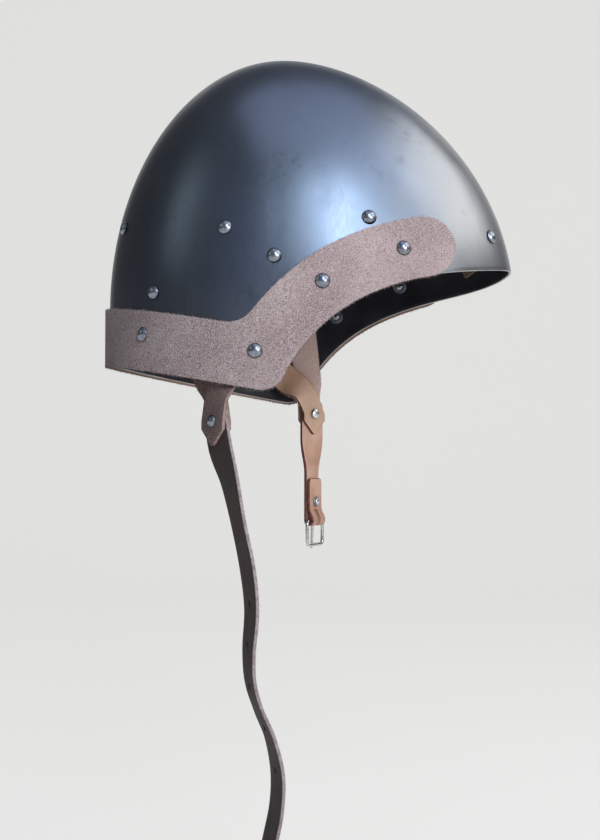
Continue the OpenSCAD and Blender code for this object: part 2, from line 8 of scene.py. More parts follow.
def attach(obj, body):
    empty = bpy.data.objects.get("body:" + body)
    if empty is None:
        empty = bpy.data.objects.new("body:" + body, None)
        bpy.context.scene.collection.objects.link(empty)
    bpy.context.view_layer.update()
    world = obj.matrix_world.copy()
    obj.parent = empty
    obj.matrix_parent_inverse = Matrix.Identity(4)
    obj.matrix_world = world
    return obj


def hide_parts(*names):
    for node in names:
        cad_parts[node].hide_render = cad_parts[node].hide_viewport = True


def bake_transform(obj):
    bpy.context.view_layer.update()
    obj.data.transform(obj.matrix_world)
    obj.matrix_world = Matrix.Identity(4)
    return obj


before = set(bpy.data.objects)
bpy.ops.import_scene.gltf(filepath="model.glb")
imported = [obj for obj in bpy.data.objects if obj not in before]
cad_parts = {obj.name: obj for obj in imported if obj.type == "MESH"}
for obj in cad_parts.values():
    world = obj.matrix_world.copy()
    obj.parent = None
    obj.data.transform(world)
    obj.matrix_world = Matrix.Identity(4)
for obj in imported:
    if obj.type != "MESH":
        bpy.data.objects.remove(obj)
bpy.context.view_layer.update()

mm = 0.001
right, left = -1, 1

# the skull's form, in millimetres: lengths from the crown's axis, drops below the crown
skull = {
    "frontReach": 156, "rearReach": 116, "halfWidth": 103, "domeHeight": 170, "steel": 1.6,
    "frontRise": 1.73, "rearRise": 1.96, "sideRise": 1.72, "frontPlan": 2.15, "rearPlan": 1.9,
    "crownZ": 28.9, "browDrop": 145, "templeDrop": 158, "templeX": 88, "cheekX": 11, "cheekDrop": 228.5,
    "napeDrop": 207, "faceSweep": 37.5, "templeLift": 10.5, "cheekRound": 13, "cheekLean": 4, "cheekBack": 16,
    "around": 288, "down": 84, "degreeRun": 2.6, "searchLow": 20, "searchHigh": 60, "halvings": 40, "bevel": 0.35,
}


def level(drop):
    return skull["crownZ"] - drop


def mix(a, b, f):
    return a + (b - a) * f


def smooth(f):
    f = max(0.0, min(1.0, f))
    return f * f * (3 - 2 * f)


def shrink(z, grow, power):
    rise = max(0.0, min(1.0, (z - level(skull["domeHeight"])) / (skull["domeHeight"] + grow)))
    return (1 - rise * rise) ** (1 / power)


def reach(x, z, grow):
    if x >= 0:
        return (skull["frontReach"] + grow) * shrink(z, grow, skull["frontRise"])
    return (skull["rearReach"] + grow) * shrink(z, grow, skull["rearRise"])


def plan(x):
    return skull["frontPlan"] if x >= 0 else skull["rearPlan"]


def wallY(x, z, grow=0.0):
    far = reach(x, z, grow)
    q = min(1.0, abs(x) / far) if far > 0 else 1.0
    return (skull["halfWidth"] + grow) * shrink(z, grow, skull["sideRise"]) * (1 - q ** plan(x)) ** (1 / plan(x))


def domePoint(angle, z, grow=0.0):
    c, s = cos(angle), sin(angle)
    power = 2 / (skull["frontPlan"] if c >= 0 else skull["rearPlan"])
    x = (1 if c >= 0 else -1) * abs(c) ** power
    y = (1 if s >= 0 else -1) * abs(s) ** power
    return Vector((x * reach(x, z, grow), y * (skull["halfWidth"] + grow) * shrink(z, grow, skull["sideRise"]), z))


def offWall(place, side):
    x, z = place[0], level(place[1])
    return Vector((wallY(x - 0.5, z) - wallY(x + 0.5, z), side, wallY(x, z - 0.5) - wallY(x, z + 0.5))).normalized()


def onWall(place, side, grow=0.0):
    z = level(place[1])
    return Vector((place[0], side * wallY(place[0], z, grow), z))


def besideWall(place, side, grow):
    return onWall(place, side) + offWall(place, side) * grow


def turned(v, angle):
    return Matrix.Rotation(radians(angle), 3, "Z") @ v


def bezier(a, b, c, d, f):
    g = 1 - f
    return a * g ** 3 + b * 3 * f * g ** 2 + c * 3 * f * f * g + d * f ** 3


def turnTo(way):
    return way.to_track_quat("Z", "Y").to_matrix().to_4x4()


def seat(point, normal):
    return Matrix.Translation(point * mm) @ turnTo(normal) @ Matrix.Scale(mm, 4)


# the edge in side view, as (distance forward, depth below the crown)
def faceEdge(f):
    temple, sweep = skull["templeX"], skull["faceSweep"]
    return bezier(Vector((skull["frontReach"], skull["browDrop"])), Vector((temple + sweep, skull["templeDrop"])),
                  Vector((temple - sweep, skull["templeDrop"] - skull["templeLift"])),
                  Vector((skull["cheekX"], skull["cheekDrop"] - skull["cheekRound"])), f)


def cheekEdge(f):
    a, b = faceEdge(1), Vector((skull["cheekX"] - skull["cheekLean"], skull["cheekDrop"]))
    c = Vector((skull["cheekX"] - skull["cheekBack"], skull["cheekDrop"] - 1))
    return a * (1 - f) ** 2 + b * 2 * f * (1 - f) + c * f * f


edgeLine = [faceEdge(i / 60) for i in range(61)] + [cheekEdge(i / 16) for i in range(1, 17)]
edgeLine.append(Vector((-skull["rearReach"] - 8, skull["napeDrop"] - 1.5)))


def edgeDrop(x):
    if x >= edgeLine[0][0]:
        return edgeLine[0][1]
    for a, b in zip(edgeLine, edgeLine[1:]):
        if b[0] <= x:
            return mix(a[1], b[1], (x - a[0]) / (b[0] - a[0]))
    return edgeLine[-1][1]


def meshFrom(bm, name):
    mesh = bpy.data.meshes.new(name)
    bm.to_mesh(mesh)
    bm.free()
    return mesh


def addObject(name, data):
    thing = bpy.data.objects.new(name, data)
    bpy.context.scene.collection.objects.link(thing)
    return thing


def finish(bm, name, body, nodes, materials, smoothFaces=True):
    for face in bm.faces:
        face.smooth = smoothFaces
    piece = addObject(name, meshFrom(bm, name))
    for material in materials:
        piece.data.materials.append(material)
    if body:
        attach(piece, body)
    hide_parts(*nodes)
    return piece


def applyModifiers(piece):
    bpy.context.view_layer.update()
    graph = bpy.context.evaluated_depsgraph_get()
    mesh = bpy.data.meshes.new_from_object(piece.evaluated_get(graph))
    piece.modifiers.clear()
    piece.data = mesh


def thicken(piece, thickness, offset, bevel, segments=2):
    backSlot, edgeSlot = 1, 2  # a piece's materials are its face, its back and its edge
    solid = piece.modifiers.new("thickness", "SOLIDIFY")
    solid.thickness = thickness * mm
    solid.offset = offset
    solid.material_offset = backSlot
    solid.material_offset_rim = edgeSlot
    rounded = piece.modifiers.new("edges", "BEVEL")
    rounded.width = bevel * mm
    rounded.segments = segments
    rounded.limit_method = "ANGLE"
    rounded.angle_limit = radians(50)
    rounded.material = edgeSlot
    applyModifiers(piece)
    for polygon in piece.data.polygons:
        polygon.use_smooth = True


def gridOf(columns, rows, place):
    bm = bmesh.new()
    bmesh.ops.create_grid(bm, x_segments=columns - 1, y_segments=rows - 1, size=1)
    for v in bm.verts:
        i = round((v.co.x + 1) / 2 * (columns - 1))
        j = round((v.co.y + 1) / 2 * (rows - 1))
        v.co = place(i, j) * mm
    return bm


def faceOutwards(bm, outward):
    bmesh.ops.recalc_face_normals(bm, faces=bm.faces)
    bm.faces.ensure_lookup_table()
    face = bm.faces[len(bm.faces) // 2]
    if face.normal.dot(outward(face.calc_center_median())) < 0:
        bmesh.ops.reverse_faces(bm, faces=bm.faces)


def spinProfile(profile, steps=40):
    bm = bmesh.new()
    verts = [bm.verts.new((r, 0, z)) for r, z in profile]
    edges = [bm.edges.new(pair) for pair in zip(verts, verts[1:])]
    bmesh.ops.spin(bm, geom=verts + edges, cent=(0, 0, 0), axis=(0, 0, 1), angle=2 * pi, steps=steps,
                   use_merge=True)
    bmesh.ops.remove_doubles(bm, verts=bm.verts, dist=1e-4)
    bmesh.ops.recalc_face_normals(bm, faces=bm.faces)
    return bm


def addCopies(target, source, matrices):
    mesh = meshFrom(source, "copy")
    for matrix in matrices:
        mesh.transform(matrix)
        target.from_mesh(mesh)
        mesh.transform(matrix.inverted())
    bpy.data.meshes.remove(mesh)


class Finish:  # a material, with short ways to add its nodes
    def __init__(self, name, colour, metallic=0.0, roughness=0.5):
        self.material = bpy.data.materials.new(name)
        self.material.use_nodes = True
        self.nodes = self.material.node_tree.nodes
        self.links = self.material.node_tree.links
        self.shader = self.nodes["Principled BSDF"]
        self.put("Base Color", (*colour, 1))
        self.put("Metallic", metallic)
        self.put("Roughness", roughness)
        self.place = self.nodes.new("ShaderNodeTexCoord").outputs["Object"]

    def put(self, socket, value):
        self.shader.inputs[socket].default_value = value

    def noise(self, scale, detail=4.0, stretch=None, rough=0.55):
        node = self.nodes.new("ShaderNodeTexNoise")
        node.inputs["Scale"].default_value = scale
        node.inputs["Detail"].default_value = detail
        node.inputs["Roughness"].default_value = rough
        start = self.place
        if stretch:
            mapping = self.nodes.new("ShaderNodeMapping")
            mapping.inputs["Scale"].default_value = stretch
            self.links.new(start, mapping.inputs["Vector"])
            start = mapping.outputs["Vector"]
        self.links.new(start, node.inputs["Vector"])
        return node.outputs["Fac"]

    def cells(self, scale):
        node = self.nodes.new("ShaderNodeTexVoronoi")
        node.inputs["Scale"].default_value = scale
        self.links.new(self.place, node.inputs["Vector"])
        return node.outputs["Distance"]

    def ramp(self, value, stops):
        node = self.nodes.new("ShaderNodeValToRGB")
        while len(node.color_ramp.elements) < len(stops):
            node.color_ramp.elements.new(0.5)
        for element, (place, colour) in zip(node.color_ramp.elements, stops):
            element.position = place
            element.color = (*colour, 1)
        self.links.new(value, node.inputs["Fac"])
        return node.outputs["Color"]

    def blend(self, amount, a, b):
        node = self.nodes.new("ShaderNodeMix")
        node.data_type = "RGBA"
        for socket, value in ((node.inputs["Factor"], amount), (node.inputs[6], a), (node.inputs[7], b)):
            if hasattr(value, "links"):
                self.links.new(value, socket)
            elif isinstance(value, tuple):
                socket.default_value = (*value, 1)
            else:
                socket.default_value = value
        return node.outputs[2]

    def maths(self, operation, a, b=0.0, clamp=False):
        node = self.nodes.new("ShaderNodeMath")
        node.operation = operation
        node.use_clamp = clamp
        for socket, value in zip(node.inputs, (a, b)):
            if hasattr(value, "links"):
                self.links.new(value, socket)
            else:
                socket.default_value = value
        return node.outputs[0]

    def times(self, a, b):
        return self.maths("MULTIPLY", a, b)

    def axis(self, name):
        node = self.nodes.new("ShaderNodeSeparateXYZ")
        self.links.new(self.place, node.inputs[0])
        return node.outputs[name]

    def span(self, value, low, high, toLow=0.0, toHigh=1.0):
        node = self.nodes.new("ShaderNodeMapRange")
        node.interpolation_type = "SMOOTHSTEP"
        for key, number in (("From Min", low), ("From Max", high), ("To Min", toLow), ("To Max", toHigh)):
            node.inputs[key].default_value = number
        self.links.new(value, node.inputs["Value"])
        return node.outputs["Result"]

    def named(self, attribute):
        node = self.nodes.new("ShaderNodeAttribute")
        node.attribute_name = attribute
        return node.outputs["Fac"]

    def colour(self, value):
        self.links.new(value, self.shader.inputs["Base Color"])

    def roughness(self, value):
        self.links.new(value, self.shader.inputs["Roughness"])

    def bumps(self, *layers):
        last = None
        for height, strength, distance in layers:
            node = self.nodes.new("ShaderNodeBump")
            node.inputs["Strength"].default_value = strength
            node.inputs["Distance"].default_value = distance * mm
            self.links.new(height, node.inputs["Height"])
            if last:
                self.links.new(last, node.inputs["Normal"])
            last = node.outputs["Normal"]
        self.links.new(last, self.shader.inputs["Normal"])


# the rear tone is darker with painted shade as well as uneven bluing, and the brow tone is a painted reflection
steelTones = {"rear": (0.085, 0.095, 0.115), "side": (0.2, 0.235, 0.3), "brow": (0.4, 0.405, 0.415),
              "cloud": (0.13, 0.15, 0.2), "scuff": (0.05, 0.052, 0.06), "roughness": 0.34}


def bluedSteel():
    f = Finish("bluedSteel", steelTones["side"], metallic=1.0, roughness=steelTones["roughness"])
    cloud = f.noise(9, 5)
    streak = f.noise(30, 6, stretch=(1, 1, 0.25))
    away = f.maths("ADD", f.axis("X"), f.times(cloud, 0.05))  # darker towards the rear and paler at the brow along a wavering line: partly uneven bluing, partly painted shade at the rear and a painted reflection at the brow
    base = f.blend(f.span(away, -0.09, 0.07), steelTones["rear"], steelTones["side"])
    base = f.blend(f.span(away, 0.07, 0.17), base, steelTones["brow"])
    base = f.blend(f.span(cloud, 0.5, 0.72, 0.0, 0.4), base, steelTones["cloud"])
    base = f.blend(f.span(streak, 0.5, 0.75, 0.0, 0.3), base, steelTones["cloud"])
    scuff = f.times(f.span(f.noise(26, 3), 0.58, 0.72), f.span(f.noise(130, 4), 0.42, 0.68))
    f.colour(f.blend(f.times(scuff, 0.4), base, steelTones["scuff"]))
    grain = f.noise(900, 3, stretch=(1, 1, 0.12))
    wearAndShade = f.maths("ADD", f.times(streak, 0.6), f.times(grain, 0.4))
    low, high = steelTones["roughness"] - 0.05, steelTones["roughness"] + 0.06
    f.roughness(f.span(wearAndShade, 0.3, 0.7, low, high))
    f.bumps((grain, 0.05, 0.15), (f.noise(14, 3), 0.12, 1.2), (f.noise(55, 4), 0.05, 0.4))
    return f.material


def blackPaint():
    f = Finish("blackPaint", (0.012, 0.012, 0.016), roughness=0.42)
    f.put("Specular IOR Level", 0.3)
    f.colour(f.ramp(f.noise(40, 5), [(0.35, (0.008, 0.008, 0.012)), (0.7, (0.022, 0.022, 0.03))]))
    f.roughness(f.span(f.noise(70, 4), 0.35, 0.7, 0.34, 0.55))
    f.bumps((f.noise(220, 3), 0.2, 0.25), (f.noise(18, 2), 0.2, 1.0))
    return f.material


def rimSteel():
    f = Finish("rimSteel", (0.5, 0.5, 0.5), metallic=1.0, roughness=0.38)
    f.colour(f.ramp(f.noise(60, 4), [(0.35, (0.32, 0.32, 0.33)), (0.7, (0.62, 0.62, 0.6))]))
    f.bumps((f.noise(700, 3), 0.1, 0.1),)
    return f.material


def suede(name, pale, mid, dark, napeShade):
    f = Finish(name, mid, roughness=0.95)
    f.put("Specular IOR Level", 0.12)
    f.put("Sheen Weight", 0.2)
    f.put("Sheen Roughness", 0.6)
    f.put("Sheen Tint", (*pale, 1))
    patch = f.noise(26, 5, rough=0.6)
    fibre = f.noise(1450, 2, rough=0.6)
    fleck = f.noise(950, 3, rough=0.6)
    base = f.ramp(patch, [(0.34, mix(Vector(dark), Vector(mid), 0.55)), (0.52, mid),
                          (0.7, mix(Vector(mid), Vector(pale), 0.4))])
    shaggy = f.span(f.axis("X"), -0.1, 0.06, 1.0, 0.62)  # rougher towards the nape, and darker at it with painted shade
    wearAndShade = f.span(f.axis("X"), -0.12, -0.04, 1.0, 0.12)
    base = f.blend(f.times(shaggy, f.span(fleck, 0.48, 0.6, 0.0, 0.85)), base, dark)
    base = f.blend(f.times(shaggy, f.span(fibre, 0.48, 0.6, 0.0, 0.85)), base, pale)
    # painted shade: the nape tone is blended in, in patches, towards the rear
    f.colour(f.blend(f.times(wearAndShade, f.span(f.noise(15, 3), 0.3, 0.7, 0.25, 0.7)), base, napeShade))
    f.bumps((fibre, 0.5, 0.25), (fleck, 0.5, 0.5), (patch, 0.2, 0.8))
    return f.material


def cutEdge(name, pale, dark):
    f = Finish(name, dark, roughness=0.95)
    f.put("Specular IOR Level", 0.15)
    f.colour(f.ramp(f.noise(350, 5, rough=0.7), [(0.35, dark), (0.65, pale)]))
    f.bumps((f.noise(900, 4), 0.6, 0.4), (f.noise(260, 3), 0.4, 0.5))
    return f.material


def grainLeather(name, pale, mid, dark, shine=0.5):
    f = Finish(name, mid, roughness=shine)
    f.put("Specular IOR Level", 0.35)
    tone = f.noise(30, 5)
    pores = f.cells(950)
    crease = f.noise(140, 5, stretch=(1, 1, 0.4), rough=0.65)
    base = f.ramp(tone, [(0.3, dark), (0.52, mid), (0.72, pale)])
    f.colour(f.blend(f.span(crease, 0.55, 0.72, 0.0, 0.5), base, dark))
    f.roughness(f.span(tone, 0.3, 0.7, shine - 0.08, shine + 0.12))
    f.bumps((pores, 0.25, 0.2), (crease, 0.3, 0.35), (tone, 0.2, 0.7))
    return f.material


def polishedSteel(name, bright, dull, roughness):
    f = Finish(name, bright, metallic=1.0, roughness=roughness)
    base = f.ramp(f.noise(420, 4), [(0.3, dull), (0.6, bright)])
    f.colour(f.blend(f.span(f.named("seat"), 0.0, 0.45, 0.9, 0.0), base, (0.03, 0.028, 0.028)))
    f.roughness(f.span(f.noise(600, 3), 0.3, 0.7, roughness - 0.05, roughness + 0.1))
    f.bumps((f.noise(500, 3), 0.12, 0.1),)
    return f.material


# suede is given as pale, middle, dark and nape tones, the nape tone being painted shade, grain as the first three, a
# cut edge as pale and dark, and polished steel as bright and dull
steelFace, paintFace, rimFace = bluedSteel(), blackPaint(), rimSteel()
bandFace = suede("bandSuede", (0.64, 0.52, 0.5), (0.37, 0.275, 0.265), (0.16, 0.11, 0.105), (0.19, 0.15, 0.15))
bandBack = grainLeather("bandGrain", (0.42, 0.28, 0.2), (0.33, 0.21, 0.15), (0.22, 0.13, 0.09), 0.6)
bandEdge = cutEdge("bandEdge", (0.16, 0.1, 0.085), (0.035, 0.024, 0.022))
# painted shade: the right side's suede is a darker copy of the far legs' suede
shadedNearSuede = suede("shadedNearSuede", (0.3, 0.21, 0.19), (0.2, 0.135, 0.12), (0.09, 0.06, 0.055), (0.15, 0.1, 0.09))
farSuede = suede("farSuede", (0.7, 0.54, 0.48), (0.56, 0.4, 0.35), (0.33, 0.21, 0.17), (0.5, 0.35, 0.3))
legGrain = grainLeather("legGrain", (0.17, 0.12, 0.11), (0.1, 0.07, 0.065), (0.055, 0.04, 0.038), 0.6)
legEdge = cutEdge("legEdge", (0.42, 0.3, 0.255), (0.22, 0.14, 0.115))
# painted shade: the chin strap's grain is darkened far below the buckle strap's tan
shadedChinFace = grainLeather("shadedChinGrain", (0.1, 0.068, 0.062), (0.055, 0.037, 0.034), (0.03, 0.02, 0.019), 0.68)
chinEdge = cutEdge("chinEdge", (0.42, 0.35, 0.36), (0.22, 0.17, 0.175))
tipGrain = grainLeather("tipGrain", (0.62, 0.42, 0.3), (0.52, 0.33, 0.23), (0.36, 0.2, 0.13), 0.5)
tanGrain = grainLeather("tanGrain", (0.66, 0.42, 0.31), (0.56, 0.33, 0.235), (0.4, 0.21, 0.14), 0.48)
tanEdge = cutEdge("tanEdge", (0.24, 0.1, 0.08), (0.09, 0.034, 0.028))
linerFace = suede("linerLeather", (0.34, 0.25, 0.2), (0.22, 0.155, 0.12), (0.12, 0.08, 0.065), (0.14, 0.1, 0.08))
rivetFace = polishedSteel("rivetSteel", (0.34, 0.36, 0.42), (0.17, 0.185, 0.225), 0.25)
roveFace = polishedSteel("roveSteel", (0.42, 0.46, 0.55), (0.24, 0.27, 0.34), 0.32)
# painted highlight: the left joint and fold rivets get a brighter copy of the rivet steel for the glint they catch
glintJointFace = polishedSteel("glintJointSteel", (0.78, 0.77, 0.74), (0.6, 0.59, 0.57), 0.3)
wireFace = polishedSteel("wireSteel", (0.72, 0.71, 0.69), (0.46, 0.45, 0.44), 0.2)
print("materials made")


def edgeHeight(angle):  # halves the span between a point under the edge and one over it
    low, high = level(skull["cheekDrop"] + skull["searchLow"]), level(skull["searchHigh"])
    for _ in range(skull["halvings"]):
        z = (low + high) / 2
        if z < level(edgeDrop(domePoint(angle, z)[0])):
            low = z
        else:
            high = z
    return (low + high) / 2


def makeSkull():
    bm = bmesh.new()
    bmesh.ops.create_uvsphere(bm, u_segments=skull["around"], v_segments=2 * skull["down"], radius=1)
    bmesh.ops.delete(bm, geom=[v for v in bm.verts if v.co.z < -1e-4], context="VERTS")
    heights = {}
    upright = level(skull["domeHeight"])
    for v in bm.verts:  # its rows are spread evenly from the crown down to the edge
        angle = atan2(v.co.y, v.co.x)
        share = 1 - degrees(asin(max(-1, min(1, v.co.z)))) / 90
        key = round(degrees(angle) * 100)
        if key not in heights:
            heights[key] = edgeHeight(angle)
        low = heights[key]
        start = degrees(asin(max(0.0, min(1.0, (low - upright) / skull["domeHeight"]))))
        curved = (90 - start) * skull["degreeRun"]
        straight = max(0.0, upright - low)
        run = share * (curved + straight)
        if run <= curved:
            z = upright + skull["domeHeight"] * sin(radians(90 - run / skull["degreeRun"]))
        else:
            z = upright - (run - curved)
        v.co = domePoint(angle, z if share < 1 else low) * mm
    faceOutwards(bm, lambda p: Vector((p.x, p.y, 0.001)))
    piece = finish(bm, "skullShell", "shell", ["skull"], [steelFace, paintFace, rimFace])
    thicken(piece, skull["steel"], -1, skull["bevel"])


makeSkull()
print("skull made")

band = {"width": 37, "thickness": 3, "overhang": 1, "endAt": 0.433, "gap": 0.1, "rows": 15,
        "rearColumns": 56, "cheekColumns": 96, "endColumns": 22, "joinX": -30, "slopeRun": 60, "seamDrop": 200,
        "notchEase": 11, "merge": 0.02, "bevel": 0.7}
fuzz = {"onBand": 3600, "onLeg": 300, "batch": 100, "shortest": 0.6, "longest": 1.9, "thick": 0.13,
        "tip": 0.01, "stray": 0.8, "sunk": 0.3, "raised": 0.5, "fromBack": 0.4}
chance = random.Random(5)


def addFuzz(piece, roots):  # loose fibres that stand off a cut edge, made in small batches to stay quick
    bm = bmesh.new()
    bm.from_mesh(piece.data)
    for start in range(0, len(roots), fuzz["batch"]):
        batch = bmesh.new()
        for root, away, along, out in roots[start:start + fuzz["batch"]]:
            stray = along * chance.uniform(-fuzz["stray"], fuzz["stray"])
            stray += out * chance.uniform(-fuzz["sunk"], fuzz["raised"])
            way = (away + stray).normalized()
            length = chance.uniform(fuzz["shortest"], fuzz["longest"])
            place = Matrix.Translation((root + way * length / 3) * mm) @ turnTo(way)
            bmesh.ops.create_cone(batch, cap_ends=True, segments=3, radius1=fuzz["thick"] * mm,
                                  radius2=fuzz["tip"] * mm, depth=length * mm, matrix=place)
        mesh = meshFrom(batch, "fibres")
        bm.from_mesh(mesh)
        bpy.data.meshes.remove(mesh)
    bm.to_mesh(piece.data)
    bm.free()


def towardsCrown(points, i):  # square to a line in side view, on its upper side
    a, b = points[max(0, i - 1)], points[min(len(points) - 1, i + 1)]
    along = (b - a).normalized()
    n = Vector((-along[1], along[0]))
    return n if n[1] < 0 else -n


def resample(points, count):
    lengths = [0.0]
    for a, b in zip(points, points[1:]):
        lengths.append(lengths[-1] + (b - a).length)
    found, k = [], 0
    for i in range(count):
        s = lengths[-1] * i / (count - 1)
        while k < len(points) - 2 and lengths[k + 1] < s:
            k += 1
        f = (s - lengths[k]) / max(1e-9, lengths[k + 1] - lengths[k])
        found.append(points[k].lerp(points[k + 1], min(1, max(0, f))))
    return found


def bandLines():  # its edges behind joinX by angle round the skull, and before it in side view
    joinX, ease, seam = band["joinX"], band["notchEase"], level(band["seamDrop"])
    face = [faceEdge(mix(1, band["endAt"], i / 80)) for i in range(81)]
    lower = [Vector((joinX, edgeDrop(joinX)))] + [cheekEdge(i / 16) for i in range(16, 0, -1)] + face
    low = [p - towardsCrown(lower, i) * band["overhang"] for i, p in enumerate(lower)]
    slope = (edgeDrop(joinX) - edgeDrop(joinX - band["slopeRun"])) / band["slopeRun"]
    rise = band["width"] - band["overhang"]
    across = sqrt(1 + slope * slope)

    def napeUp(x):
        return edgeDrop(joinX) + slope * (x - joinX) - rise * across

    faceUp = [p + towardsCrown(face, i) * rise for i, p in enumerate(face)]
    faceUp = [p for p in faceUp if p[1] < napeUp(p[0])]
    notch = faceUp[0]
    before = Vector((notch[0] - ease, napeUp(notch[0] - ease)))
    rest = [p for p in faceUp if (p - notch).length > ease]
    after = rest[0]
    curve = [before * (1 - f) ** 2 + notch * 2 * f * (1 - f) + after * f * f for f in [i / 12 for i in range(13)]]
    high = [Vector((joinX, napeUp(joinX)))] + curve + rest[1:]
    low = resample(low, band["cheekColumns"])
    high = resample(high, band["cheekColumns"])
    centre = (low[-1] + high[-1]) / 2
    up = (high[-1] - low[-1]) / 2
    forward = Vector((-up[1], up[0]))
    for k in range(1, band["endColumns"] + 1):
        a = pi / 2 * k / band["endColumns"]
        low.append(centre + forward * sin(a) - up * cos(a))
        high.append(centre + forward * sin(a) + up * cos(a))
    rear = []
    startAngle = pi - asin(min(1, wallY(joinX, seam) / skull["halfWidth"]) ** (skull["rearPlan"] / 2))
    for k in range(band["rearColumns"]):
        angle = mix(pi, startAngle, k / band["rearColumns"])
        x = domePoint(angle, seam)[0]
        bottom = edgeDrop(joinX) + slope * (x - joinX) + band["overhang"] * across
        rear.append((angle, bottom, napeUp(x)))
    return rear, low, high


def makeBand():
    rear, low, high = bandLines()
    columns = len(rear) + len(low)

    def place(i, j):
        f = j / (band["rows"] - 1)
        if i < len(rear):
            angle, bottom, top = rear[i]
            return domePoint(-angle, level(mix(bottom, top, f)), band["gap"])
        p = low[i - len(rear)].lerp(high[i - len(rear)], f)
        z = level(p[1])
        return Vector((p[0], -wallY(p[0], z, band["gap"]), z))

    bm = gridOf(columns, band["rows"], place)
    bmesh.ops.remove_doubles(bm, verts=bm.verts, dist=band["merge"] * mm)
    bmesh.ops.mirror(bm, geom=bm.verts[:] + bm.edges[:] + bm.faces[:], merge_dist=0.01 * mm, axis="Y")
    bmesh.ops.remove_doubles(bm, verts=bm.verts, dist=band["merge"] * mm)
    faceOutwards(bm, lambda p: Vector((p.x, p.y, 0)))
    piece = finish(bm, "leatherBand", "shell", ["leather_band"], [bandFace, bandBack, bandEdge])
    thicken(piece, band["thickness"], 1, band["bevel"], segments=3)
    roots = []
    for _ in range(fuzz["onBand"]):
        i, j = chance.randrange(columns - 1), chance.choice((0, band["rows"] - 1))
        a, b = place(i, j), place(i + 1, j)
        away = (a - place(i, j + (1 if j == 0 else -1))).normalized()
        out = (b - a).cross(away).normalized()
        if out.y >= 0 and a.y <= -1:  # these are places on the right wall, so outwards is towards -Y
            out = -out
        root = a.lerp(b, chance.random()) + out * chance.uniform(fuzz["fromBack"], band["thickness"])
        side = chance.choice((-1, 1))
        roots.append([Vector((v.x, v.y * side, v.z)) for v in (root, away, (b - a).normalized(), out)])
    addFuzz(piece, roots)


makeBand()
print("band made")

rivets = {"headD": 9.3, "headH": 2.8, "shankD": 3.6, "tailD": 5.4, "tailH": 1.4, "roveD": 10.4, "roveT": 1,
          "jointD": 7.5, "jointH": 2.4, "jointTailD": 6.8, "lowH": 1.4, "gap": 0.15, "roveGap": 0.35,
          "linerRoveGap": 0.65, "lift": 0.08, "holeGap": 0.08}
bandPlaces = [(81, 142), (33, 163), (-7, 205), (-79, 192)]
linerPlaces = [(138, 127.5), (61, 122.5), (-27, 128.5), (-100, 119)]
legPlaces = [(4, 147), (-74, 166)]
wallGap, layerGap, strapT, strapW, linerT, linerW = 1.1, 0.3, 2.2, 20, 1.6, 22


def rivetProfile(d, h, grip, tailD):
    ball = (d * d / 4 + h * h) / (2 * h)
    edge = asin(d / 2 / ball)
    head = [(ball * sin(a), h - ball + ball * cos(a)) for a in [edge * k / 12 for k in range(13)]]
    head[0] = (0, h)
    head[-1] = (d / 2, 0.12)
    head.append((d / 2 - 0.15, 0))
    tail = [(rivets["shankD"] / 2, 0), (rivets["shankD"] / 2, -grip), (tailD / 2 - 0.1, -grip)]
    for k in range(8):
        a = radians(90 * k / 7)
        tail.append((tailD / 2 * cos(a), -grip - rivets["tailH"] * (0.15 + 0.85 * sin(a))))
    tail[-1] = (0, -grip - rivets["tailH"])
    return head + tail


def roveProfile(d):
    r, hole, t = d / 2, rivets["shankD"] / 2 + rivets["holeGap"], rivets["roveT"]
    return [(hole, 0), (r - 0.15, 0), (r, 0.15), (r, t - 0.2), (r - 0.2, t), (hole + 0.1, t), (hole, t - 0.1),
            (hole, 0)]


def markAll(piece, value):
    for item in piece.data.attributes.new("seat", "FLOAT", "POINT").data:
        item.value = value


def makeRivets(name, node, body, seats, d, h, grip, tailD=rivets["tailD"], face=rivetFace):
    bm = bmesh.new()
    addCopies(bm, spinProfile(rivetProfile(d, h, grip + rivets["lift"], tailD)), seats)
    piece = finish(bm, name, body, [node], [face])
    marks = piece.data.attributes.new("seat", "FLOAT", "POINT")  # 0 where a head meets its seat, 1 on its crown
    inverses = [m.inverted() for m in seats]
    for v in piece.data.vertices:
        local = min((inverse @ v.co for inverse in inverses), key=lambda p: p.length)
        height = local.z / h if local.z >= -0.01 else min(1.0, abs(local.z + grip + rivets["lift"]) / rivets["tailH"])
        marks.data[v.index].value = max(0.0, min(1.0, height))


def makeRoves(name, node, body, seats, d, down):
    bm = bmesh.new()
    addCopies(bm, spinProfile(roveProfile(d)), [m @ Matrix.Translation((0, 0, down)) for m in seats])
    markAll(finish(bm, name, body, [node], [roveFace], smoothFaces=False), 0.75)


def wallSeats(places, grow):
    return [seat(besideWall(p, side, grow), offWall(p, side)) for side in (right, left) for p in places]


# rows of rivets through the steel: places, what lies outside it, the layers they hold and the gap at their roves
rivetRows = (
    ("band", bandPlaces, band["gap"] + band["thickness"], band["thickness"] + band["gap"] + skull["steel"],
     "roveGap"),
    ("liner", linerPlaces, 0, skull["steel"] + wallGap + linerT, "linerRoveGap"),
    ("harness", legPlaces, 0, skull["steel"] + wallGap + strapT, "roveGap"),
)
for word, places, over, held, gap in rivetRows:
    seats = wallSeats(places, over + rivets["gap"])
    grip = held + rivets["gap"] + rivets[gap] + rivets["roveT"]
    makeRivets(word + "Rivets", word + "_rivets", "shell", seats, rivets["headD"], rivets["headH"], grip)
    makeRoves(word + "Roves", word + "_washers", "shell", seats, rivets["roveD"], -grip)
print("rivets made")


